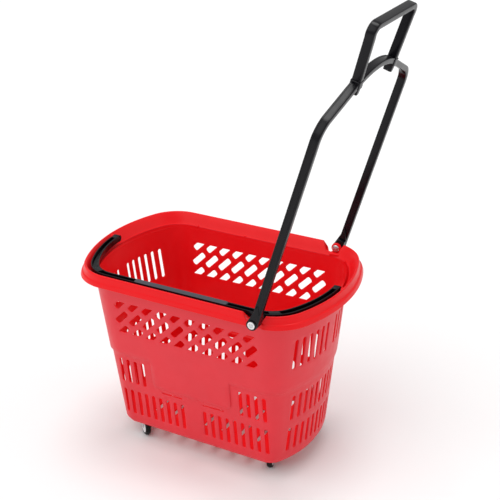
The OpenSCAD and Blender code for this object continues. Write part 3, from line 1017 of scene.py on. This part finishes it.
def grip_loop():
    corner = 14
    line = ([(leg_y(LOW_S + i * 10.4), LOW_S + i * 10.4) for i in range(11)]
            + [(TOP_Y - corner * (1 - math.cos(math.radians(t))),
                TOP_S - corner * (1 - math.sin(math.radians(t))))
               for t in (90 * i / 8 for i in range(9))]
            + [(TOP_Y - corner - i * 12, TOP_S) for i in range(1, 6)] + [(0, TOP_S)])
    whole = line + mirrored(line)[-2::-1]
    total = len(whole) - 1

    def shape(t):
        end = min(t, 1 - t) * total
        small = 1.6 if end < 0.5 else 0
        return rounded(LOOP_BAR - small, LOOP_DEEP - small, 2.4, 4)
    return place("pull_loop", join([sweep(whole, shape)]), black, "pull_handle",
                 "pull_grip_loop", 34)


pull_frame()
grip_loop()


def hinge_pins():
    """Domed heads inside the lugs, and the riveted ends over their washers outside."""
    for side, word in ((1, "left"), (-1, "right")):
        m = frame_at(pull_hinge, (0, side, 0), (1, 0, 0))
        dome = [(7.4 * math.cos(math.radians(t)), 164.2 - 2.2 * math.sin(math.radians(t)))
                for t in range(80, -1, -10)]
        head = lathe([(0, 162.0)] + dome
                     + [(7.4, 164.8), (7.0, 165.2), (4, 165.2), (4, 194.1), (3.6, 194.7),
                        (3.0, 195.0), (2.0, 194.7), (0, 194.4)], m)
        place("pin_" + word, join([head]), steel, "pull_handle", "pull_pin_" + word)
        washer = lathe([(4.05, 193.0), (7.0, 193.0), (7.3, 193.3), (7.3, 194.0), (6.8, 194.5),
                        (5.6, 194.7), (4.6, 194.4), (4.05, 193.9), (4.05, 193.0)], m)
        place("washer_" + word, join([washer]), pale, "pull_handle", "pull_washer_" + word)


hinge_pins()

# ---- Casters ----

def caster(name, swivel, roll):
    x, y, _ = swivel["pos_m"]
    wheel = Vector(roll["pos_m"])
    axle = Vector(roll["axis"])
    trail = Vector((wheel.x - x, wheel.y - y, 0)).normalized()
    reach = math.hypot(wheel.x - x, wheel.y - y) / MM
    pin_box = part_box("caster_axle_" + name)
    open_side = -1 if ((pin_box[0] + pin_box[1]) / 2 - wheel).dot(axle) > 0 else 1
    body, rolling = "caster_" + name, "wheel_" + name
    stem = Matrix.Translation((x, y, 0))
    parts = [lathe([(0, 41), (10.4, 41), (11, 41.5), (11, 43.2), (10.6, 43.6), (5.4, 43.6),
                    (5, 44), (5, 50.6), (4.6, 51), (0, 51)], stem)]
    side = Matrix((trail, Vector((0, 0, 1)), -open_side * axle)).transposed().to_4x4()
    side.translation = Vector((x, y, 0))
    cheek = ([(-8, 43), (-8, 41), (reach - 7.2, 17.5)] + arc(reach, 20, 7.5, 200, 360, 10)
             + [(reach + 7.4, 21), (12, 41), (10, 43)])
    parts.append(prism(cheek, 6.0, 10.0, side, 0.9))
    place("bracket_" + name, join(parts), bracket_black, body,
          "caster_bracket_" + name)
    turn = frame_at(wheel, axle, (0, 0, 1))
    pin = [(0, -10.0), (2.5, -10.0), (2.5, 5.9), (3.6, 5.9), (4, 6.3), (3.8, 6.9), (3, 7.1),
           (0, 7.1)]
    if open_side < 0:
        pin = [(r, -h) for r, h in pin]
    place("axle_" + name, join([lathe(pin, turn, 32)]), steel, body, "caster_axle_" + name)
    hub = [(2.6, -5.5), (4.4, -5.5), (5, -5.1), (5.4, -3.6), (11.4, -3.4), (12, -5.0),
           (12.6, -5.5), (14.2, -5.5), (14.2, 5.5), (12.6, 5.5), (12, 5.0), (11.4, 3.4),
           (5.4, 3.6), (5, 5.1), (4.4, 5.5), (2.6, 5.5), (2.6, -5.5)]
    place("hub_" + name, join([lathe(hub, turn)]), hub_white, rolling, "wheel_hub_" + name)
    tyre = [(14.2, -5.5), (17.2, -5.5), (18.4, -5.1), (19.3, -4.1), (19.8, -2.8), (20, -1.2),
            (20, 1.2), (19.8, 2.8), (19.3, 4.1), (18.4, 5.1), (17.2, 5.5), (14.2, 5.5),
            (14.2, -5.5)]
    place("tyre_" + name, join([lathe(tyre, turn, 64)]), rubber, rolling, "wheel_tyre_" + name)
    bush = [(5.05, 44), (6.9, 43.7), (7.48, 44.3), (7.48, 52), (5.05, 52), (5.05, 44)]
    place("bush_" + name, join([lathe(bush, stem, 32)]), bush_grey, "basket", "caster_bush_" + name)


for spot, swivel in caster_spots.items():
    caster(spot, swivel, hinges["roll_" + spot])

# ---- Floor, light and camera ----

def studio():
    bm = bmesh.new()
    bmesh.ops.create_grid(bm, x_segments=1, y_segments=1, size=6)
    mesh = bpy.data.meshes.new("floor")
    bm.to_mesh(mesh)
    bm.free()
    mesh.materials.append(plastic("studio_floor", (0.92, 0.92, 0.92), 0.8, grain=0.0,
                                  mottle=0.0, specular=0.2))
    floor = bpy.data.objects.new("floor", mesh)
    bpy.context.scene.collection.objects.link(floor)
    world = bpy.data.worlds.new("studio")
    bpy.context.scene.world = world
    world.use_nodes = True
    world.node_tree.nodes["Background"].inputs["Color"].default_value = (1, 1, 1, 1)
    world.node_tree.nodes["Background"].inputs["Strength"].default_value = 0.55
    for name, towards, power, spread in (("key", (-0.5, -0.8, 1.0), 1.1, 1.1),
                                         ("top", (0.0, 0.15, 1.0), 1.0, 0.5),
                                         ("side", (1.0, 0.2, 0.5), 0.35, 1.0)):
        lamp = bpy.data.lights.new(name, "SUN")
        lamp.energy, lamp.angle = power, spread
        obj = bpy.data.objects.new(name, lamp)
        obj.rotation_euler = Vector(towards).to_track_quat("Z", "Y").to_euler()
        bpy.context.scene.collection.objects.link(obj)
    bpy.context.scene.view_settings.view_transform = "Standard"


AZIMUTH, ELEVATION, ROLL = 29.4, 25.7, -1.1
DISTANCE_M = 2.183
LENS = 80.6


def camera():
    az, el, roll = (math.radians(a) for a in (AZIMUTH, ELEVATION, ROLL))
    target = at(65.6, 0, -33.5)
    back = Vector((math.sin(az) * math.cos(el), -math.cos(az) * math.cos(el), math.sin(el)))
    data = bpy.data.cameras.new("camera")
    data.sensor_width = 36
    data.lens = LENS
    obj = bpy.data.objects.new("camera", data)
    right = Vector((math.cos(az), math.sin(az), 0))
    up = back.cross(right)
    right, up = (math.cos(roll) * right + math.sin(roll) * up,
                 -math.sin(roll) * right + math.cos(roll) * up)
    obj.matrix_world = Matrix((right, up, back)).transposed().to_4x4()
    obj.matrix_world.translation = target + back * DISTANCE_M
    bpy.context.scene.collection.objects.link(obj)
    bpy.context.scene.camera = obj


studio()
camera()
